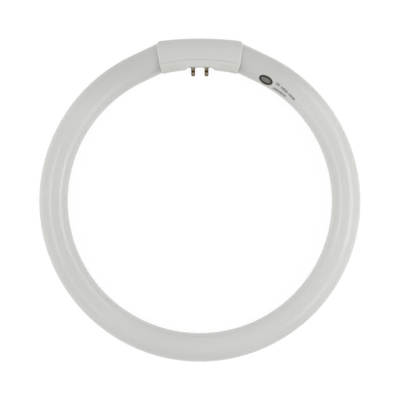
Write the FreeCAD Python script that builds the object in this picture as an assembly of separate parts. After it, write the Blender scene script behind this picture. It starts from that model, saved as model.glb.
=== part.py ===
import FreeCAD, Part
import math
import os
from FreeCAD import Placement, Rotation, Vector

# Circular fluorescent lamp, lying flat. Sizes are millimetres and degrees.
# The ring's axis is Z, its centre is the origin, the cap is at +Y and its pins point to the centre.

# Glass ring
ring_outer_diameter = 190.0
tube_diameter = 17.0
bend_end_angle = 25.5           # from the cap's middle line to where the bend runs out straight
glass_insertion = 9.2           # glass inside the cap, along its axis
shoulder_radius = 4.0           # rounding of each glass end
exhaust_tip_diameter = 2.2
exhaust_tip_length = 3.0

# Cap, moulded in two shells that meet at a seam
cap_length = 48.6               # between its mouths, where the glass's axis crosses them
cap_outer_bow = 1.75            # rise of the outer edge's arc over its chord
cap_inner_bow = 2.65            # rise of the inner edge's arc over its chord
cap_corner_radius = 2.2         # outer corners, seen from the front
cap_corner_setback = 2.3        # from an outer corner down its end face to where the round begins
cap_corner_turn = 75.0          # how far the round turns before it runs into the outer edge
cap_edge_radius = 2.0           # long edges beside the pins
cap_mouth_bevel = 0.4           # round each end face
outer_end_tilt = 7.3            # lean of the outer shell's end faces
inner_end_tilt = 18.5           # lean of the inner shell's end faces
seam_below_axis = 3.7           # from the glass's axis to the seam, down the end face
mouth_outer_wall = 1.1
mouth_inner_wall = 0.35
mouth_side_wall = 1.3
shell_wall = 1.4
end_wall = 2.0
glass_clearance = 0.12
seam_bevel = 0.2                # half the groove that shows at the seam
lip_height = 1.2                # the inner shell's lip, inside the outer shell's wall
lip_thickness = 0.6
lip_clearance = 0.1
rib_setback = 5.6               # from the mouth to the rib that cradles the glass's shoulder
rib_thickness = 1.2

# Recess between the pins and the cap's inner edge
recess_width = 13.6             # at its floor
recess_flare = 1.9              # each side widens by this towards the edge
recess_depth = 1.25
recess_corner_radius = 0.7
recess_lip_radius = 0.8          # where the recess's sides run out at the cap's inner edge

# Contact pins, four on a rectangle
pin_diameter = 2.35
pin_spacing_x = 7.92
pin_spacing_z = 6.35
pin_projection = 5.3            # from the recess's floor to the pin's tip
pin_nose_radius = 0.9
pin_shank_diameter = 2.8        # the stouter part held in the cap, from the collar's face inwards
pin_bore_diameter = 1.0
pin_bore_end = 3.4              # from the tip to where the crimp shuts the bore
pin_tail = 1.6                  # beyond the flange, inside the cap
pin_flange_diameter = 3.6
pin_flange_thickness = 0.6
pin_clearance = 0.05
pin_collar_diameter = 4.2
pin_collar_height = 0.4
pin_boss_diameter = 5.0
pin_boss_height = 2.4
crimp_from_tip = 2.6
crimp_radius = 0.75             # of the groove pressed across the pin
crimp_depth = 0.55

# Lead wires from the glass to the pins
lead_diameter = 0.8
lead_spacing = 3.7              # between the two that leave one end of the glass
lead_straight = 4.6             # before the bend towards the pins
lead_bend_radius = 2.0
lead_drop = 0.7                 # from the first bend's corner down to the corner over the pin
bead_thickness = 0.9            # silicone that fixes the glass in the inner shell

Z = Vector(0, 0, 1)
Y = Vector(0, 1, 0)
X = Vector(1, 0, 0)
ORIGIN = Vector(0, 0, 0)
BEYOND = 8.0                    # cutting tools reach this far past what they cut
FACING = 0.3                    # least sideways lean of a normal on the cap's ends


def direction(angle):
    # Unit vector in the ring's plane that leans from +Y towards +X.
    return Vector(math.sin(math.radians(angle)), math.cos(math.radians(angle)), 0)


def lean(angle):
    # The share of a length along an end face that lies square to the glass's axis.
    return math.cos(math.radians(bend_end_angle - angle))


def arc_radius(half_chord, bow):
    return (half_chord ** 2 + bow ** 2) / (2 * bow)


tube_radius = tube_diameter / 2
ring_radius = ring_outer_diameter / 2 - tube_radius
outwards = direction(bend_end_angle)
along = Vector(-outwards.y, outwards.x, 0)
bend_end = outwards * ring_radius
mouth_reach = (bend_end.x - cap_length / 2) / -along.x
mouth = bend_end + along * mouth_reach
glass_length = mouth_reach + glass_insertion
glass_end = bend_end + along * glass_length

bore_radius = tube_radius + glass_clearance
half_depth = bore_radius + mouth_side_wall
seam_end = mouth - direction(outer_end_tilt) * seam_below_axis
inner_drop = bore_radius + mouth_inner_wall - seam_below_axis * lean(outer_end_tilt)
inner_corner = seam_end - direction(inner_end_tilt) * (inner_drop / lean(inner_end_tilt))
outer_rise = (bore_radius + mouth_outer_wall) / lean(outer_end_tilt)
outer_corner = mouth + direction(outer_end_tilt) * outer_rise
inner_middle = inner_corner.y + cap_inner_bow
outer_middle = outer_corner.y + cap_outer_bow
inner_radius = arc_radius(inner_corner.x, cap_inner_bow)
outer_radius = arc_radius(outer_corner.x, cap_outer_bow)
inner_centre = Vector(0, inner_middle - inner_radius, 0)
outer_centre = Vector(0, outer_middle - outer_radius, 0)
seam_radius = seam_end.distanceToPoint(inner_centre)

recess_floor = inner_middle + recess_depth
tray_floor = recess_floor + shell_wall
boss_top = tray_floor + pin_boss_height
collar_face = recess_floor - pin_collar_height
pin_tip = recess_floor - pin_projection
pin_radius = pin_diameter / 2
shank_radius = pin_shank_diameter / 2


def both_sides(shape):
    return shape, shape.mirror(ORIGIN, X)


def mirrored_x(point):
    return Vector(-point.x, point.y, point.z)


def revolved(edges, axis_point, axis, angle=360):
    return Part.Face(Part.Wire(edges)).revolve(axis_point, axis, angle)


def arc3(a, b, c):
    return Part.Arc(a, b, c).toShape()


def on_glass_axis(shape):
    # Moves a shape made on +Z from the origin to the right-hand straight end, at the bend's end.
    shape.Placement = Placement(bend_end, Rotation(Z, along))
    return shape


def straight_end(extra=0.0, start=0.0, with_tip=True):
    # The straight end of the glass with its rounded shoulder, or the seat for it with some extra.
    radius = tube_radius + extra
    round_radius = shoulder_radius + extra
    length = glass_length + extra
    flat = radius - round_radius
    mid = round_radius * math.sqrt(0.5)
    foot = Vector(0, 0, start)
    rim = Vector(radius, 0, start)
    shoulder = Vector(radius, 0, length - round_radius)
    shoulder_mid = Vector(flat + mid, 0, length - round_radius + mid)
    top = Vector(flat, 0, length)
    edges = [
        Part.makeLine(foot, rim),
        Part.makeLine(rim, shoulder),
        arc3(shoulder, shoulder_mid, top),
    ]
    if with_tip:
        tip_radius = exhaust_tip_diameter / 2
        tip_foot = Vector(tip_radius, 0, length)
        tip_top = length + exhaust_tip_length
        tip_side = Vector(tip_radius, 0, tip_top - tip_radius)
        tip_mid = Vector(tip_radius * math.sqrt(0.5), 0, tip_top - tip_radius * (1 - math.sqrt(0.5)))
        tip_end = Vector(0, 0, tip_top)
        edges += [
            Part.makeLine(top, tip_foot),
            Part.makeLine(tip_foot, tip_side),
            arc3(tip_side, tip_mid, tip_end),
            Part.makeLine(tip_end, foot),
        ]
    else:
        centre = Vector(0, 0, length)
        edges += [Part.makeLine(top, centre), Part.makeLine(centre, foot)]
    return on_glass_axis(revolved(edges, ORIGIN, Z))


def make_glass_tube():
    # One sealed bulb: the bent ring, its two straight ends and their exhaust tips.
    section = Part.makeCircle(tube_radius, bend_end, along)
    ring = Part.Face(Part.Wire(section)).revolve(ORIGIN, Z, -(360 - 2 * bend_end_angle))
    right, left = both_sides(straight_end())
    return ring.fuse([right, left]).removeSplitter()


def end_block(inset):
    # A slab through the cap in plan, with its leaning ends and rounded outer corners.
    shift = Vector(-inset, 0, 0)
    upper = direction(outer_end_tilt)
    lower = direction(inner_end_tilt)
    corner_turn = math.radians(cap_corner_turn)
    corner_start = outer_corner - upper * cap_corner_setback
    inward = Vector(-upper.y, upper.x, 0)
    corner_centre = corner_start + inward * cap_corner_radius

    def on_corner(turn):
        spoke = -inward * math.cos(turn) + upper * math.sin(turn)
        return corner_centre + spoke * cap_corner_radius

    corner_end = on_corner(corner_turn)
    leave = upper * math.cos(corner_turn) + inward * math.sin(corner_turn)
    right = [
        inner_corner - lower * BEYOND + shift,
        seam_end + shift,
        corner_start + shift,
        on_corner(corner_turn / 2) + shift,
        corner_end + shift,
        corner_end + leave * BEYOND + shift,
    ]
    left = [mirrored_x(p) for p in right]
    edges = []
    for p in (right, left):
        edges += [
            Part.makeLine(p[0], p[1]),
            Part.makeLine(p[1], p[2]),
            arc3(p[2], p[3], p[4]),
            Part.makeLine(p[4], p[5]),
        ]
    edges += [Part.makeLine(right[5], left[5]), Part.makeLine(right[0], left[0])]
    outline = Part.Wire(Part.__sortEdges__(edges))
    slab = Part.Face(outline).extrude(Z * (2 * half_depth + 2 * BEYOND))
    slab.translate(Z * -(half_depth + BEYOND))
    return slab


def disc(radius, height):
    # A cylinder about the inner edge's centre, as deep as given each way.
    return Part.makeCylinder(radius, 2 * height, inner_centre - Z * height, Z)


def cap_form(wall, inset):
    # The cap's outside, or its inside with a wall taken off: a D section swept on the outer arc.
    depth = half_depth - wall
    flat_end = outer_middle - half_depth
    flat_start = inner_corner.y - BEYOND
    corners = [
        Vector(0, flat_start, depth),
        Vector(0, flat_end, depth),
        Vector(0, flat_end + depth, 0),
        Vector(0, flat_end, -depth),
        Vector(0, flat_start, -depth),
    ]
    section = [
        Part.makeLine(corners[0], corners[1]),
        arc3(corners[1], corners[2], corners[3]),
        Part.makeLine(corners[3], corners[4]),
        Part.makeLine(corners[4], corners[0]),
    ]
    sweep = math.degrees(math.asin((outer_corner.x + BEYOND) / outer_radius))
    face = Part.Face(Part.Wire(section))
    face.rotate(outer_centre, Z, -sweep)
    form = face.revolve(outer_centre, Z, 2 * sweep)
    form = form.common(end_block(inset)).cut(disc(inner_radius + wall, half_depth + BEYOND))
    return form.makeFillet(cap_edge_radius - wall, long_edges(form, inner_radius + wall, depth))


def long_edges(shape, radius, depth):
    # The edges along the cap's inner face, at its front and its back.
    found = []
    for edge in shape.Edges:
        middle = edge.valueAt((edge.FirstParameter + edge.LastParameter) / 2)
        flat = Vector(middle.x, middle.y, 0)
        at_radius = abs(flat.distanceToPoint(inner_centre) - radius) < 1e-4
        if at_radius and abs(abs(middle.z) - depth) < 1e-4:
            found.append(edge)
    return found


def rib():
    # The plate across the cap's inside that cradles the glass's shoulder.
    reach = 2 * half_depth + BEYOND
    corner = Vector(-reach, -reach, mouth_reach + rib_setback)
    plate = Part.makeBox(2 * reach, 2 * reach, rib_thickness, corner)
    return on_glass_axis(plate)


def recess_tool():
    # The shallow channel across the cap's inner edge, with eased corners at its floor.
    foot = inner_middle - BEYOND
    edge = recess_floor - recess_depth
    half = recess_width / 2
    slope = recess_flare / recess_depth
    wide = half + slope * (edge - foot)
    right = [Vector(wide, foot, 0), Vector(half, recess_floor, 0)]
    left = [mirrored_x(p) for p in reversed(right)]
    outline = Part.makePolygon(right + left + [right[0]])
    tool = Part.Face(outline).extrude(Z * (2 * half_depth + 2 * BEYOND))
    tool.translate(Z * -(half_depth + BEYOND))
    floor_edges = [
        e for e in tool.Edges
        if all(abs(v.Y - recess_floor) < 1e-6 for v in e.Vertexes)
        and abs(e.Vertexes[0].X - e.Vertexes[1].X) < 1e-6
    ]
    return tool.makeFillet(recess_corner_radius, floor_edges)


def pin_places():
    places = {}
    for depth_name, sign_z in (("front", 1), ("rear", -1)):
        for side_name, sign_x in (("left", -1), ("right", 1)):
            name = depth_name + "_" + side_name
            places[name] = Vector(sign_x * pin_spacing_x / 2, 0, sign_z * pin_spacing_z / 2)
    return places


def upright(radius, low, high, place):
    # A round post along +Y.
    return Part.makeCylinder(radius, high - low, Vector(place.x, low, place.z), Y)


def is_end_face(face):
    # End faces and their rounded corners stand square to the ring's plane and face along it.
    u0, u1, v0, v1 = face.ParameterRange
    normal = face.normalAt((u0 + u1) / 2, (v0 + v1) / 2)
    beside = abs(face.CenterOfMass.x) > inner_corner.x - cap_corner_radius
    return beside and abs(normal.z) < 1e-6 and abs(normal.x) > FACING


def at_seam(edge):
    # True where the cap's two halves part.
    distances = [v.Point.distanceToPoint(inner_centre + Z * v.Z) for v in edge.Vertexes]
    return all(abs(distance - seam_radius) < 1e-4 for distance in distances)


def mouth_edges(shape):
    # The edges round both end faces, apart from the one at the seam.
    found = []
    for edge in shape.Edges:
        faces = [f for f in shape.Faces if any(edge.isSame(e) for e in f.Edges)]
        kinds = [is_end_face(f) for f in faces]
        if len(kinds) == 2 and kinds[0] != kinds[1] and not at_seam(edge):
            found.append(edge)
    return found


def bevelled(half):
    # One half of the closed cap with a bevel round its ends.
    return half.makeChamfer(cap_mouth_bevel, mouth_edges(half))


def cap_room():
    # What the glass and the space round it take from the closed cap; a rib is left at each end.
    room = cap_form(shell_wall, end_wall).cut(list(both_sides(rib())))
    seats = both_sides(straight_end(glass_clearance, -BEYOND, with_tip=False))
    return [room, *seats]


def lip(outside, inset, height):
    # A band inside the front and back walls, just above the seam.
    band = cap_form(outside, inset).cut(cap_form(shell_wall, inset))
    ring = disc(seam_radius + height, half_depth).cut(disc(seam_radius, half_depth + BEYOND))
    return band.common(ring)


def seam_groove():
    # A shallow V round the cap where the two shells meet.
    low = Vector(0, inner_centre.y + seam_radius - seam_bevel, half_depth)
    high = Vector(0, inner_centre.y + seam_radius + seam_bevel, half_depth)
    deep = Vector(0, inner_centre.y + seam_radius, half_depth - seam_bevel)
    edges = [Part.makeLine(low, high), Part.makeLine(high, deep), Part.makeLine(deep, low)]
    face = Part.Face(Part.Wire(edges))
    sweep = math.degrees(math.asin((seam_end.x + BEYOND) / seam_radius))
    face.rotate(inner_centre, Z, -sweep)
    front = face.revolve(inner_centre, Z, 2 * sweep)
    return front, front.mirror(ORIGIN, Z)


def recess_lip_edges(tray):
    # The long edges where the recess's sides meet the cap's inner edge.
    found = []
    for edge in tray.Edges:
        ends = [v.Point for v in edge.Vertexes]
        if len(ends) == 2 and abs(ends[0].z - ends[1].z) > half_depth:
            at_edge = abs(ends[0].distanceToPoint(inner_centre + Z * ends[0].z) - inner_radius) < 1e-4
            if at_edge and abs(ends[0].x) < recess_width / 2 + 2 * recess_flare:
                found.append(edge)
    return found


def make_base_outer_shell():
    # The cover: everything beyond the seam, rebated inside for the other shell's lip.
    shell = bevelled(cap_form(0, 0).cut(disc(seam_radius, half_depth + BEYOND)))
    rebate = lip(shell_wall - lip_thickness - lip_clearance, end_wall, lip_height + lip_clearance)
    return shell.cut([*cap_room(), rebate, *seam_groove()])


def make_base_inner_shell():
    # The pin carrier: a curved tray with a recess under it and a boss for each pin.
    tray = bevelled(cap_form(0, 0).common(disc(seam_radius, half_depth + BEYOND))).cut(cap_room())
    tray = tray.fuse(lip(shell_wall - lip_thickness, end_wall + lip_clearance, lip_height))
    backing_half = recess_width / 2 + recess_flare + shell_wall
    backing = Part.makeBox(
        2 * backing_half, tray_floor - inner_corner.y, 2 * half_depth,
        Vector(-backing_half, inner_corner.y, -half_depth),
    ).common(cap_form(0, 0))
    places = pin_places().values()
    bosses = [upright(pin_boss_diameter / 2, recess_floor, boss_top, p) for p in places]
    collars = [
        upright(pin_collar_diameter / 2, collar_face, tray_floor, p)
        for p in places
    ]
    holes = [upright(shank_radius + pin_clearance, pin_tip, boss_top + BEYOND, p) for p in places]
    tray = tray.fuse([backing, *bosses]).cut(recess_tool())
    tray = tray.makeFillet(recess_lip_radius, recess_lip_edges(tray))
    return tray.fuse(collars).cut([*holes, *seam_groove()]).removeSplitter()


def make_contact_pin(place):
    # A drawn pin: rounded nose, crimp groove, shouldered shank, flange on its boss, bore for the wire.
    nose = pin_radius - pin_nose_radius
    slack = pin_nose_radius * (1 - math.sqrt(0.5))
    shoulder = collar_face - pin_tip
    flange = boss_top - pin_tip
    tail = flange + pin_flange_thickness + pin_tail
    flange_radius = pin_flange_diameter / 2
    bore = pin_bore_diameter / 2
    flange_top = flange + pin_flange_thickness
    side = [
        (pin_radius, pin_nose_radius), (pin_radius, shoulder), (shank_radius, shoulder),
        (shank_radius, flange), (flange_radius, flange), (flange_radius, flange_top),
        (shank_radius, flange_top), (shank_radius, tail), (bore, tail),
        (bore, pin_bore_end), (0, pin_bore_end), (0, 0), (nose, 0),
    ]
    points = [Vector(r, h, 0) for r, h in side]
    edges = [Part.makeLine(a, b) for a, b in zip(points, points[1:])]
    edges.append(arc3(points[-1], Vector(pin_radius - slack, slack, 0), points[0]))
    pin = revolved(edges, ORIGIN, Y)
    facing = math.copysign(1, place.z)
    groove = Vector(-pin_radius, crimp_from_tip, facing * (pin_radius + crimp_radius - crimp_depth))
    pin = pin.cut(Part.makeCylinder(crimp_radius, pin_diameter, groove, X))
    pin.translate(Vector(place.x, pin_tip, place.z))
    return pin


def rounded_path(points, radius):
    # Straight runs joined by tangent arcs.
    edges = []
    start = points[0]
    for before, corner, after in zip(points, points[1:], points[2:]):
        back = (before - corner).normalize()
        ahead = (after - corner).normalize()
        half_angle = back.getAngle(ahead) / 2
        tangent = radius / math.tan(half_angle)
        bisector = (back + ahead).normalize()
        centre = corner + bisector * (radius / math.sin(half_angle))
        enter = corner + back * tangent
        leave = corner + ahead * tangent
        edges += [Part.makeLine(start, enter), arc3(enter, centre - bisector * radius, leave)]
        start = leave
    edges.append(Part.makeLine(start, points[-1]))
    return Part.Wire(edges)


def make_lead_wire(place):
    # From the glass's end face, over in an arc and down inside its pin.
    side = math.copysign(1, place.x)
    seal = glass_end + Z * math.copysign(lead_spacing / 2, place.z)
    turn = seal + along * lead_straight
    if side < 0:
        seal = mirrored_x(seal)
        turn = mirrored_x(turn)
    over_pin = Vector(place.x, turn.y - lead_drop, place.z)
    in_pin = Vector(place.x, pin_tip + pin_bore_end, place.z)
    path = rounded_path([seal, turn, over_pin, in_pin], lead_bend_radius)
    start = path.Edges[0].tangentAt(path.Edges[0].FirstParameter)
    section = Part.Wire(Part.makeCircle(lead_diameter / 2, seal, start))
    return path.makePipeShell([section], True, False)


def make_glass_bead(inner_shell_room):
    # Silicone laid in the inner shell's trough under one end of the glass.
    ring = Part.makeCylinder(tube_radius + bead_thickness, rib_setback, Z * mouth_reach, Z)
    ring = on_glass_axis(ring).cut(straight_end(with_tip=False))
    return ring.common(inner_shell_room)


def build():
    inner_room = cap_form(shell_wall, end_wall).common(disc(seam_radius, half_depth))
    right_bead, left_bead = both_sides(make_glass_bead(inner_room.cut(rib())))
    nodes = {
        "glass_tube": make_glass_tube(),
        "base_outer_shell": make_base_outer_shell(),
        "base_inner_shell": make_base_inner_shell(),
        "glass_bead_left": left_bead,
        "glass_bead_right": right_bead,
    }
    for name, place in pin_places().items():
        nodes["contact_pin_" + name] = make_contact_pin(place)
        nodes["lead_wire_" + name] = make_lead_wire(place)
    return nodes


os.makedirs("parts", exist_ok=True)
for node, shape in build().items():
    shape.exportStep("parts/" + node + ".step")
    print(node, len(shape.Solids), "solid", round(shape.Volume, 2), "mm3", "valid", shape.isValid())
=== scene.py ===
import bpy
import math
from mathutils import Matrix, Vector


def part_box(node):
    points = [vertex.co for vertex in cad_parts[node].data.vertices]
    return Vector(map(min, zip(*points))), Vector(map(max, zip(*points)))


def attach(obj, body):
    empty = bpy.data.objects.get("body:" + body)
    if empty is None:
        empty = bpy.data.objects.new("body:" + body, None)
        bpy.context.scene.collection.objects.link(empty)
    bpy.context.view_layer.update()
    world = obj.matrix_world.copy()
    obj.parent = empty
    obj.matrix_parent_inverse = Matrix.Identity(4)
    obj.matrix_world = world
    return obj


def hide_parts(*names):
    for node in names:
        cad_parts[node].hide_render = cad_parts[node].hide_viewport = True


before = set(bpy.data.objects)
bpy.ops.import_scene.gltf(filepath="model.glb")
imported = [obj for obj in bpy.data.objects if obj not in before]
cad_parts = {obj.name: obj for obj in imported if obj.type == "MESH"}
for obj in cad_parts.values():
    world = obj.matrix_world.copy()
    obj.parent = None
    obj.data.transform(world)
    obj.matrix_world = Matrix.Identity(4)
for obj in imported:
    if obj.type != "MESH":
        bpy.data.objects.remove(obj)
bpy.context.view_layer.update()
bpy.ops.object.select_all(action="DESELECT")
print("frame loaded with", len(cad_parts), "nodes")

scene = bpy.context.scene
mm = 0.001


# the camera stands straight above the lamp, far away and with a long lens

view = {
    "distance": 2.6,            # from the ring's plane
    "span": 0.2366,             # width of the picture at the ring's plane
    "centreX": 0.10 * mm,       # what the picture is centred on
    "centreY": 0.66 * mm,
    "sensor": 36,               # its width
    "clipEnd": 20,
}


def placeCamera():
    bpy.ops.object.camera_add(location=(view["centreX"], view["centreY"], view["distance"]))
    camera = bpy.context.object
    camera.name = "camera"
    camera.data.sensor_width = view["sensor"]
    camera.data.lens = view["sensor"] * view["distance"] / view["span"]
    camera.data.clip_end = view["clipEnd"]
    scene.camera = camera


placeCamera()
scene.view_settings.view_transform = "Standard"
print("camera placed")


class Wire:
    # a socket's value, so that shader maths is written as a Python expression

    def __init__(self, shader, socket):
        self.shader = shader
        self.socket = socket

    def maths(self, operation, first, second=0.0):
        return self.shader.node("ShaderNodeMath", {"operation": operation}, {0: first, 1: second})

    def __add__(self, other):
        return self.maths("ADD", self, other)

    def __radd__(self, other):
        return self.maths("ADD", other, self)

    def __sub__(self, other):
        return self.maths("SUBTRACT", self, other)

    def __rsub__(self, other):
        return self.maths("SUBTRACT", other, self)

    def __mul__(self, other):
        return self.maths("MULTIPLY", self, other)

    def __rmul__(self, other):
        return self.maths("MULTIPLY", other, self)

    def above(self, least):
        return self.maths("MAXIMUM", self, least)

    def size(self):
        return self.maths("ABSOLUTE", self)


class Shader:
    # a node tree, filled by one method

    def __init__(self, tree):
        self.tree = tree
        tree.nodes.clear()

    def node(self, kind, settings=None, sockets=None, out=0):
        made = self.tree.nodes.new(kind)
        for key, value in (settings or {}).items():
            setattr(made, key, value)
        for key, value in (sockets or {}).items():
            if isinstance(value, Wire):
                self.tree.links.new(value.socket, made.inputs[key])
            else:
                made.inputs[key].default_value = value
        return Wire(self, made.outputs[out]) if made.outputs else made

    def place(self):
        return self.node("ShaderNodeTexCoord", out="Object")

    def part(self, vector, axis):
        return self.node("ShaderNodeSeparateXYZ", sockets={0: vector}, out=axis)

    def distance(self, x, y):
        # from the origin
        return self.node("ShaderNodeMath", {"operation": "SQRT"}, {0: x * x + y * y})

    def noise(self, scale, detail, where=None):
        # the scale counts per metre
        return self.node("ShaderNodeTexNoise", sockets={
            "Vector": where or self.place(), "Scale": scale, "Detail": detail,
        })

    def between(self, value, ends):
        # none up to the first end, one from the second on, and a soft rise on the way
        return self.node("ShaderNodeMapRange", {"interpolation_type": "SMOOTHSTEP"}, {
            "Value": value, "From Min": ends[0], "From Max": ends[1],
        })

    def blendColour(self, mask, first, second):
        return self.node("ShaderNodeMix", {"data_type": "RGBA"}, {0: mask, 6: first, 7: second}, out=2)

    def bump(self, height, distance):
        return self.node("ShaderNodeBump", sockets={"Height": height, "Distance": distance})

    def rays(self, kind):
        # one for light rays of this kind and none for the others
        return self.node("ShaderNodeLightPath", out=kind)

    def seen(self):
        # one for what shows to the camera, in metal and through glass, and none for what lights the lamp
        return self.rays("Is Camera Ray").above(self.rays("Is Glossy Ray")).above(
            self.rays("Is Transmission Ray"))

    def finish(self, surface):
        self.node("ShaderNodeOutputMaterial", sockets={"Surface": surface})


def newMaterial(name):
    material = bpy.data.materials.new(name)
    material.use_nodes = True
    return material, Shader(material.node_tree)


def shade(red, green, blue):
    # a colour as a picture shows it, 0 to 255, in the renderer's own scale
    def one(value):
        value = value / 255
        return value / 12.92 if value <= 0.04045 else ((value + 0.055) / 1.055) ** 2.4
    return (one(red), one(green), one(blue), 1)


# in the finishes, a pair of numbers for a mask is where it starts and where it is full

glassLook = {
    "white": shade(205, 205, 202),
    "dull": shade(201, 201, 198),
    "greyEnd": shade(193, 194, 190),
    "grey": (50 * mm, 82 * mm),     # the white goes greyer towards the cap, along Y
    "cloud": 14,
    "cloudMask": (0.35, 0.65),
    "powder": 900,
    "powderShare": 0.2,
    "roughness": 0.55,
    "specular": 0.0,                # the gloss is all in the coat, which is the clear glass
    "coat": 1.0,
    "coatRoughness": 0.12,
    "coatIOR": 1.6,
}


def makeGlassFinish():
    material, nodes = newMaterial("phosphorGlass")
    cloud = nodes.noise(glassLook["cloud"], detail=2)
    powder = nodes.noise(glassLook["powder"], detail=2)
    powderShare = glassLook["powderShare"]
    mask = nodes.between(cloud, glassLook["cloudMask"]) * (1 - powderShare) + powder * powderShare
    white = nodes.blendColour(mask, glassLook["dull"], glassLook["white"])
    nearCap = nodes.between(nodes.part(nodes.place(), "Y"), glassLook["grey"])
    surface = nodes.node("ShaderNodeBsdfPrincipled", sockets={
        "Base Color": nodes.blendColour(nearCap, white, glassLook["greyEnd"]),
        "Roughness": glassLook["roughness"],
        "Specular IOR Level": glassLook["specular"],
        "Coat Weight": glassLook["coat"],
        "Coat Roughness": glassLook["coatRoughness"],
        "Coat IOR": glassLook["coatIOR"],
    })
    nodes.finish(surface)
    return material


plasticLook = {
    "roughness": 0.42,
    "roughnessSpread": 0.08,
    "cloud": 40,
    "cloudMask": (0.3, 0.7),
    "grain": 2600,                          # fine moulded grain
    "grainDepth": 0.006 * mm,
    "dull": (7 * mm, 15 * mm),              # from the cap's middle, where the middle colour gives way to each look's ends colour
    "endX": 23.83 * mm,                     # where the cap's end faces cross the seam
    "endY": 80.575 * mm,
    "edge": shade(217, 217, 214),
    "edgeBand": (0.75 * mm, 0.375 * mm),    # painted highlight along each end edge, where the rounded edge catches the light
    "seamRadius": 98.84 * mm,               # the seam is an arc about this place on the Y axis
    "seamCentreY": -15.35 * mm,
    "seamBand": (2.6 * mm, 2.6 / 3 * mm),   # painted highlight on the plastic just inside the seam, where its edge catches the light
    "groove": shade(199, 199, 194),
    "grooveBand": (0.35 * mm, 0.15 * mm),   # painted shade in the seam's groove, from the seam to both sides
}

coverLook = {
    "middle": shade(202, 202, 200),
    "second": shade(206, 206, 204),         # mottles the middle
    "ends": shade(202, 202, 200),
    "atSeam": shade(203, 203, 201),
    "endLean": math.radians(7.3),           # of the end faces
}

carrierLook = {
    "middle": shade(202, 203, 198),
    "second": shade(205, 206, 201),
    "ends": shade(199, 199, 194),
    # painted highlight just inside the seam
    "atSeam": shade(205, 206, 201),
    "endLean": math.radians(18.5),
}


def makePlasticFinish(name, look):
    material, nodes = newMaterial(name)
    cloud = nodes.noise(plasticLook["cloud"], detail=3)
    grain = nodes.noise(plasticLook["grain"], detail=2)
    across = nodes.part(nodes.place(), "X").size()
    along = nodes.part(nodes.place(), "Y")
    lean = look["endLean"]
    fromEndX = plasticLook["endX"] - across
    fromEndY = along - plasticLook["endY"]
    inwards = fromEndX * math.cos(lean) + fromEndY * math.sin(lean)
    inCloud = nodes.between(cloud, plasticLook["cloudMask"])
    mottled = nodes.blendColour(inCloud, look["middle"], look["second"])
    plain = nodes.blendColour(nodes.between(across, plasticLook["dull"]), mottled, look["ends"])
    fromSeam = plasticLook["seamRadius"] - nodes.distance(across, along - plasticLook["seamCentreY"])
    # painted highlight just inside the seam
    inBand = nodes.between(fromSeam, plasticLook["seamBand"])
    # painted shade in the seam's groove
    inGroove = nodes.between(fromSeam.size(), plasticLook["grooveBand"])
    banded = nodes.blendColour(
        inGroove, nodes.blendColour(inBand, plain, look["atSeam"]), plasticLook["groove"])
    # painted highlight along the cap's end edges
    atEdge = nodes.between(inwards, plasticLook["edgeBand"])
    surface = nodes.node("ShaderNodeBsdfPrincipled", sockets={
        "Base Color": nodes.blendColour(atEdge, banded, plasticLook["edge"]),
        "Roughness": cloud * plasticLook["roughnessSpread"] + plasticLook["roughness"],
        "Normal": nodes.bump(grain, plasticLook["grainDepth"]),
    })
    nodes.finish(surface)
    return material


metalLook = {
    "bright": shade(158, 147, 125),
    "dull": shade(119, 105, 82),
    "cloud": 900,
    "cloudMask": (0.3, 0.7),
    "lines": (4000, 150, 4000),         # fine lines along the pin
    "lineShare": 0.3,
    "lineDepth": 0.004 * mm,
    # painted shade in the crimp's dent
    "crimp": shade(74, 60, 38),
    "crimpPlace": 76.56 * mm,           # along Y
    "crimpReach": (0.7 * mm, 0.35 * mm),
    "crimpRise": (3.3 * mm, 3.7 * mm),  # only on the side of the pin that faces away from the ring's plane
    # painted shade at the pin's rounded tip
    "nose": shade(84, 71, 50),
    "noseReach": (75.0 * mm, 74.3 * mm),
    "roughness": 0.3,
    "roughnessSpread": 0.2,
    "crimpRoughness": 0.3,              # added in the crimp
}


def makeMetalFinish():
    material, nodes = newMaterial("pinMetal")
    cloud = nodes.noise(metalLook["cloud"], detail=4)
    drawn = nodes.node("ShaderNodeMapping", sockets={"Vector": nodes.place(), "Scale": metalLook["lines"]})
    lines = nodes.noise(1, detail=2, where=drawn)
    lineShare = metalLook["lineShare"]
    mask = nodes.between(cloud, metalLook["cloudMask"]) * (1 - lineShare) + lines * lineShare
    drawnMetal = nodes.blendColour(mask, metalLook["dull"], metalLook["bright"])
    along = nodes.part(nodes.place(), "Y")
    rise = nodes.part(nodes.place(), "Z").size()
    # painted shade in the crimp, on the pin's side away from the ring's plane
    inCrimp = nodes.between((along - metalLook["crimpPlace"]).size(), metalLook["crimpReach"])
    inCrimp = inCrimp * nodes.between(rise, metalLook["crimpRise"])
    # painted shade towards the pin's tip
    withNose = nodes.blendColour(nodes.between(along, metalLook["noseReach"]), drawnMetal, metalLook["nose"])
    roughness = cloud * metalLook["roughnessSpread"] + inCrimp * metalLook["crimpRoughness"]
    surface = nodes.node("ShaderNodeBsdfPrincipled", sockets={
        "Base Color": nodes.blendColour(inCrimp, withNose, metalLook["crimp"]),
        "Metallic": 1.0,
        "Roughness": roughness + metalLook["roughness"],
        "Normal": nodes.bump(lines, metalLook["lineDepth"]),
    })
    nodes.finish(surface)
    return material


wireLook = {
    "dull": shade(185, 183, 178),
    "bright": shade(214, 212, 206),
    "cloud": 1400,
    "roughness": 0.3,
    "roughnessSpread": 0.25,
}


def makeWireFinish():
    material, nodes = newMaterial("tinnedWire")
    cloud = nodes.noise(wireLook["cloud"], detail=3)
    surface = nodes.node("ShaderNodeBsdfPrincipled", sockets={
        "Base Color": nodes.blendColour(cloud, wireLook["dull"], wireLook["bright"]),
        "Metallic": 1.0,
        "Roughness": cloud * wireLook["roughnessSpread"] + wireLook["roughness"],
    })
    nodes.finish(surface)
    return material


siliconeLook = {
    "dull": shade(216, 216, 212),
    "bright": shade(230, 230, 226),
    "cloud": 300,
    "cloudDepth": 0.05 * mm,
    "roughness": 0.4,
    "roughnessSpread": 0.15,
}


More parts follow.
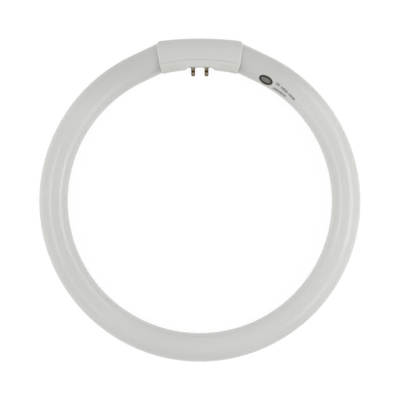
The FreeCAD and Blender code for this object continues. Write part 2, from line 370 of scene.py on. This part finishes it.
def makeSiliconeFinish():
    material, nodes = newMaterial("milkySilicone")
    cloud = nodes.noise(siliconeLook["cloud"], detail=3)
    surface = nodes.node("ShaderNodeBsdfPrincipled", sockets={
        "Base Color": nodes.blendColour(cloud, siliconeLook["dull"], siliconeLook["bright"]),
        "Roughness": cloud * siliconeLook["roughnessSpread"] + siliconeLook["roughness"],
        "Normal": nodes.bump(cloud, siliconeLook["cloudDepth"]),
    })
    nodes.finish(surface)
    return material


inkLook = {
    "dark": (shade(38, 30, 22), shade(66, 56, 46)),         # where the ink is full and where it is thin
    "grey": (shade(108, 106, 100), shade(136, 134, 128)),
    "wear": 2200,
    "wearMask": (0.45, 0.75),
    "roughness": 0.5,
    "roughnessSpread": 0.2,
}


def makeInkFinish(name, full, thin):
    material, nodes = newMaterial(name)
    wear = nodes.noise(inkLook["wear"], detail=4)
    surface = nodes.node("ShaderNodeBsdfPrincipled", sockets={
        "Base Color": nodes.blendColour(nodes.between(wear, inkLook["wearMask"]), full, thin),
        "Roughness": wear * inkLook["roughnessSpread"] + inkLook["roughness"],
    })
    nodes.finish(surface)
    return material


glassFinish = makeGlassFinish()
coverFinish = makePlasticFinish("capPlastic", coverLook)
carrierFinish = makePlasticFinish("capPlasticInner", carrierLook)
metalFinish = makeMetalFinish()
wireFinish = makeWireFinish()
siliconeFinish = makeSiliconeFinish()
darkInk = makeInkFinish("darkInk", *inkLook["dark"])
greyInk = makeInkFinish("greyInk", *inkLook["grey"])
print("finishes made")


def only(piece):
    # makes a piece the only one selected, and the active one
    bpy.ops.object.select_all(action="DESELECT")
    piece.select_set(True)
    bpy.context.view_layer.objects.active = piece


def editAll():
    # opens the active piece for editing, with all of it selected
    bpy.ops.object.mode_set(mode="EDIT")
    bpy.ops.mesh.select_all(action="SELECT")


def intoPlace(piece):
    # moves a piece's place, turn and size into its mesh
    only(piece)
    bpy.ops.object.transform_apply(location=True, rotation=True, scale=True)


def settle(piece, name, material, slot, *nodes):
    piece.name = name
    piece.data.name = name
    piece.data.materials.clear()
    piece.data.materials.append(material)
    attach(piece, "root")
    if nodes:
        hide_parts(*nodes)


def useModifier(piece, kind, **settings):
    only(piece)
    bpy.ops.object.modifier_add(type=kind)
    modifier = piece.modifiers[-1]
    for key, value in settings.items():
        setattr(modifier, key, value)
    bpy.ops.object.modifier_apply(modifier=modifier.name)


# the glass tube, half of it drawn round the bend and into the cap, then mirrored

tube = {
    "bendEnd": math.radians(25.5),      # from the cap's middle line
    "straight": 23.536 * mm,            # from the bend's end to the glass's end
    "shoulder": 4.0 * mm,
    "tipRadius": 1.1 * mm,
    "tipLength": 3.0 * mm,
    "smallest": 0.01 * mm,              # radius of the last ring of the tip, before it is drawn to a point
    "around": 72,
    "bendSteps": 96,
    "roundSteps": 8,
    "merge": 0.002 * mm,
    "smooth": math.radians(40),
}


def endDirection():
    # along the right-hand straight end, into the cap
    return Vector((-math.cos(tube["bendEnd"]), math.sin(tube["bendEnd"]), 0))


def pushRing(distance, widen=1.0, about=None):
    # draws the selected ring on by one step and changes its size
    bpy.ops.mesh.extrude_region_move(TRANSFORM_OT_translate={"value": endDirection() * distance})
    if widen != 1.0:
        bpy.ops.transform.resize(value=(widen, widen, widen), center_override=about)


def roundOff(start, radius, flat):
    # a quarter round from the ring at start down to a radius of flat, and the place where it ends
    centre = start
    size = radius + flat
    for step in range(tube["roundSteps"]):
        turn = math.pi / 2 * (step + 1) / tube["roundSteps"]
        before = math.pi / 2 * step / tube["roundSteps"]
        move = radius * (math.sin(turn) - math.sin(before))
        newSize = max(flat + radius * math.cos(turn), tube["smallest"])
        centre = centre + endDirection() * move
        pushRing(move, newSize / size, centre)
        size = newSize
    return centre, size


def makeLampTube():
    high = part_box("glass_tube")[1]      # the corner that is largest in x, y and z
    tubeRadius = high.z
    ringRadius = high.x - tubeRadius
    bpy.ops.mesh.primitive_circle_add(
        vertices=tube["around"], radius=tubeRadius,
        location=(0, -ringRadius, 0), rotation=(0, math.pi / 2, 0))
    piece = bpy.context.object
    intoPlace(piece)
    editAll()
    bpy.ops.mesh.spin(
        steps=tube["bendSteps"], angle=math.pi - tube["bendEnd"], center=(0, 0, 0), axis=(0, 0, -1))
    bendEnd = Vector((math.sin(tube["bendEnd"]), math.cos(tube["bendEnd"]), 0)) * ringRadius
    run = tube["straight"] - tube["shoulder"]
    pushRing(run)
    place = bendEnd + endDirection() * run
    place, size = roundOff(place, tube["shoulder"], tubeRadius - tube["shoulder"])
    bpy.ops.mesh.extrude_region_move()
    shrink = tube["tipRadius"] / size
    bpy.ops.transform.resize(value=(shrink, shrink, shrink), center_override=place)
    tipRun = tube["tipLength"] - tube["tipRadius"]
    pushRing(tipRun)
    place = place + endDirection() * tipRun
    roundOff(place, tube["tipRadius"], 0)
    bpy.ops.mesh.edge_collapse()
    bpy.ops.object.mode_set(mode="OBJECT")
    useModifier(piece, "MIRROR", merge_threshold=tube["merge"])
    only(piece)
    editAll()
    bpy.ops.mesh.remove_doubles(threshold=tube["merge"])
    bpy.ops.mesh.normals_make_consistent(inside=False)
    bpy.ops.object.mode_set(mode="OBJECT")
    bpy.ops.object.shade_smooth_by_angle(angle=tube["smooth"])
    settle(piece, "lampTube", glassFinish, "phosphor_glass", "glass_tube")
    print("glass tube made,", len(piece.data.polygons), "faces")
    return piece


lampTube = makeLampTube()


# print on the tube, as plain shapes; angles are in degrees from the cap's middle line

ink = {
    "lift": 0.012 * mm,         # off the glass
    "thickness": 0.02 * mm,
    "ovalAngle": 28.6,
    "ovalRadius": 81.4 * mm,    # from the ring's centre
    "ovalSize": (8.8 * mm, 5.0 * mm),
    "fieldSize": (6.0 * mm, 2.4 * mm),
    "ovalPoints": 48,
    "dropFrom": 12 * mm,        # flat shapes start at this height
    "blocks": (0.5 * mm, 0.9 * mm, 0.4 * mm, 0.7 * mm),     # widths, taken in turn
    "blockGap": 0.3 * mm,
    # each row: the distances of its two ends from the ring's centre, its height, and the angles at which
    # its groups of blocks start and end
    "rows": [
        (82.9 * mm, 81.8 * mm, 1.4 * mm, [(33.0, 35.2), (35.5, 39.3), (39.7, 43.3)]),
        (79.7 * mm, 79.9 * mm, 1.1 * mm, [(33.0, 39.5)]),
    ],
}


def polar(angle, radius):
    angle = math.radians(angle)
    return Vector((math.sin(angle) * radius, math.cos(angle) * radius, 0))


def setOver(piece, angle, radius, size):
    # sizes a flat shape, turns it along the tube and holds it over its place
    piece.scale = (size[0], size[1], 1)
    piece.rotation_euler = (0, 0, -math.radians(angle))
    piece.location = polar(angle, radius) + Vector((0, 0, ink["dropFrom"]))
    intoPlace(piece)


def pressOn(piece, layer=0):
    # lays a flat shape on the glass as a film of ink
    useModifier(
        piece, "SHRINKWRAP", target=lampTube, wrap_method="PROJECT", use_project_z=True,
        use_negative_direction=True, use_positive_direction=False,
        offset=ink["lift"] + layer * ink["thickness"])
    useModifier(piece, "SOLIDIFY", thickness=ink["thickness"], offset=1)


def makeOval(name, size, finish, layer):
    bpy.ops.mesh.primitive_circle_add(vertices=ink["ovalPoints"], radius=0.5, fill_type="NOTHING")
    piece = bpy.context.object
    editAll()
    bpy.ops.mesh.fill_grid(span=ink["ovalPoints"] // 4)
    bpy.ops.object.mode_set(mode="OBJECT")
    setOver(piece, ink["ovalAngle"], ink["ovalRadius"], size)
    pressOn(piece, layer)
    settle(piece, name, finish, "phosphor_glass")


def makeBlocks():
    # rows of plain blocks along the tube
    blocks = []
    for first, last, height, groups in ink["rows"]:
        rowStart, rowEnd = groups[0][0], groups[-1][1]
        for start, end in groups:
            place = math.radians(start) * first
            width = ink["blocks"][0]
            while place + width <= math.radians(end) * first:
                angle = math.degrees((place + width / 2) / first)
                radius = first + (last - first) * (angle - rowStart) / (rowEnd - rowStart)
                bpy.ops.mesh.primitive_grid_add(x_subdivisions=2, y_subdivisions=4, size=1)
                setOver(bpy.context.object, angle, radius, (width, height))
                blocks.append(bpy.context.object)
                place += width + ink["blockGap"]
                width = ink["blocks"][len(blocks) % len(ink["blocks"])]
    only(blocks[0])
    for block in blocks:
        block.select_set(True)
    bpy.ops.object.join()
    pressOn(bpy.context.object)
    settle(bpy.context.object, "printedBlocks", greyInk, "phosphor_glass")


makeOval("printedOval", ink["ovalSize"], darkInk, 0)
makeOval("printedField", ink["fieldSize"], greyInk, 1)
makeBlocks()
print("print made")


# cap, pins, wires and silicone, from the frame's own shapes

copied = {
    "merge": 0.0005 * mm,
    "flat": math.radians(0.3),          # faces closer to one plane than this become one face
    "smoothCap": math.radians(25),
    "smoothSmall": math.radians(35),
}


def smoothCopy(node, name, material, slot, smooth):
    # the node's loose triangles merged into one smooth skin
    piece = bpy.data.objects.new(name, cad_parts[node].data.copy())
    bpy.context.collection.objects.link(piece)
    only(piece)
    editAll()
    bpy.ops.mesh.remove_doubles(threshold=copied["merge"])
    bpy.ops.mesh.dissolve_limited(angle_limit=copied["flat"])
    bpy.ops.object.mode_set(mode="OBJECT")
    bpy.ops.mesh.customdata_custom_splitnormals_clear()
    bpy.ops.object.shade_smooth_by_angle(angle=smooth)
    settle(piece, name, material, slot, node)


smoothCopy("base_outer_shell", "capCover", coverFinish, "cap_plastic", copied["smoothCap"])
smoothCopy("base_inner_shell", "capPinCarrier", carrierFinish, "cap_plastic_inner", copied["smoothCap"])
for side in ("left", "right"):
    smoothCopy(
        "glass_bead_" + side, "siliconeBead_" + side, siliconeFinish, "silicone", copied["smoothSmall"])
    for row in ("front", "rear"):
        place = row + "_" + side
        smoothCopy("contact_pin_" + place, "pin_" + place, metalFinish, "pin_metal", copied["smoothSmall"])
        smoothCopy("lead_wire_" + place, "lead_" + place, wireFinish, "lead_wire", copied["smoothSmall"])
print("cap, pins, wires and silicone finished")


floor = {
    "size": 6.0,
    "gap": 0.02 * mm,
    "capRest": 2 * mm,          # from the cap's inner edge to where it rests
    "albedo": 0.7,
    "whiteShare": 0.8,          # how much of the floor shows as plain white, whatever the shadow
    "white": 1.12,
}


def makeFloor():
    # the cap is thicker than the tube, so the lamp leans on the cap and on the ring's far side
    tubeLow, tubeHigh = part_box("glass_tube")
    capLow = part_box("base_inner_shell")[0]
    farY = tubeLow.y + tubeHigh.z
    nearY = capLow.y + floor["capRest"]
    slope = math.atan2(capLow.z - tubeLow.z, nearY - farY)
    bpy.ops.mesh.primitive_plane_add(size=floor["size"], rotation=(slope, 0, 0))
    piece = bpy.context.object
    piece.location.z = tubeLow.z - farY * math.tan(slope) - floor["gap"]
    piece.name = "floor"
    material, nodes = newMaterial("paleFloor")
    matt = nodes.node("ShaderNodeBsdfDiffuse", sockets={"Color": (floor["albedo"],) * 3 + (1,)})
    white = nodes.node("ShaderNodeEmission", sockets={"Color": (1, 1, 1, 1), "Strength": floor["white"]})
    mixed = nodes.node("ShaderNodeMixShader", sockets={
        0: nodes.seen() * floor["whiteShare"], 1: matt, 2: white,
    })
    nodes.finish(mixed)
    piece.data.materials.append(material)


makeFloor()
print("floor laid")


light = {
    "overhead": 0.02,
    "right": 1.23,              # how much brighter the sky is towards each side
    "left": 1.60,
    "near": 0.40,
    "far": 0.38,
    "boxes": {                  # place, width, length and radiance of each softbox
        "left": ((-0.349, 0.0, 0.511), 0.22, 0.26, 1.26),
        "leftNear": ((-0.349, -0.26, 0.511), 0.22, 0.26, 0.57),
        "leftFar": ((-0.349, 0.26, 0.511), 0.22, 0.26, 0.13),
        "right": ((0.378, 0.0, 0.327), 0.22, 0.26, 1.64),
        "rightNear": ((0.378, -0.26, 0.327), 0.22, 0.26, 0.62),
        "rightFar": ((0.378, 0.26, 0.327), 0.22, 0.26, 0.80),
        "rightWide": ((0.55, 0.0, 0.22), 0.40, 0.90, 0.19),
        "distant": ((1.44, -1.44, 2.36), 0.50, 0.90, 1.15),
    },
}


def makeWorld():
    world = bpy.data.worlds.new("studio")
    scene.world = world
    world.use_nodes = True
    nodes = Shader(world.node_tree)
    direction = nodes.node("ShaderNodeTexCoord", out="Generated")
    x = nodes.part(direction, "X")
    y = nodes.part(direction, "Y")
    across = x.above(0) * light["right"] + (0 - x).above(0) * light["left"]
    along = y.above(0) * light["far"] + (0 - y).above(0) * light["near"]
    dome = across + along + light["overhead"]
    seen = nodes.seen()
    background = nodes.node("ShaderNodeBackground", sockets={
        "Color": (1, 1, 1, 1), "Strength": seen + (1 - seen) * dome,
    })
    nodes.node("ShaderNodeOutputWorld", sockets={"Surface": background})


def makeBoxes():
    for name, (place, width, length, radiance) in light["boxes"].items():
        place = Vector(place)
        bpy.ops.object.light_add(type="AREA", location=place)
        lamp = bpy.context.object
        lamp.rotation_euler = place.to_track_quat("Z", "Y").to_euler()
        lamp.name = "softbox_" + name
        lamp.data.shape = "RECTANGLE"
        lamp.data.size = length
        lamp.data.size_y = width
        lamp.data.energy = radiance * width * length * math.pi
        lamp.visible_camera = False


makeWorld()
makeBoxes()
print("lights placed")
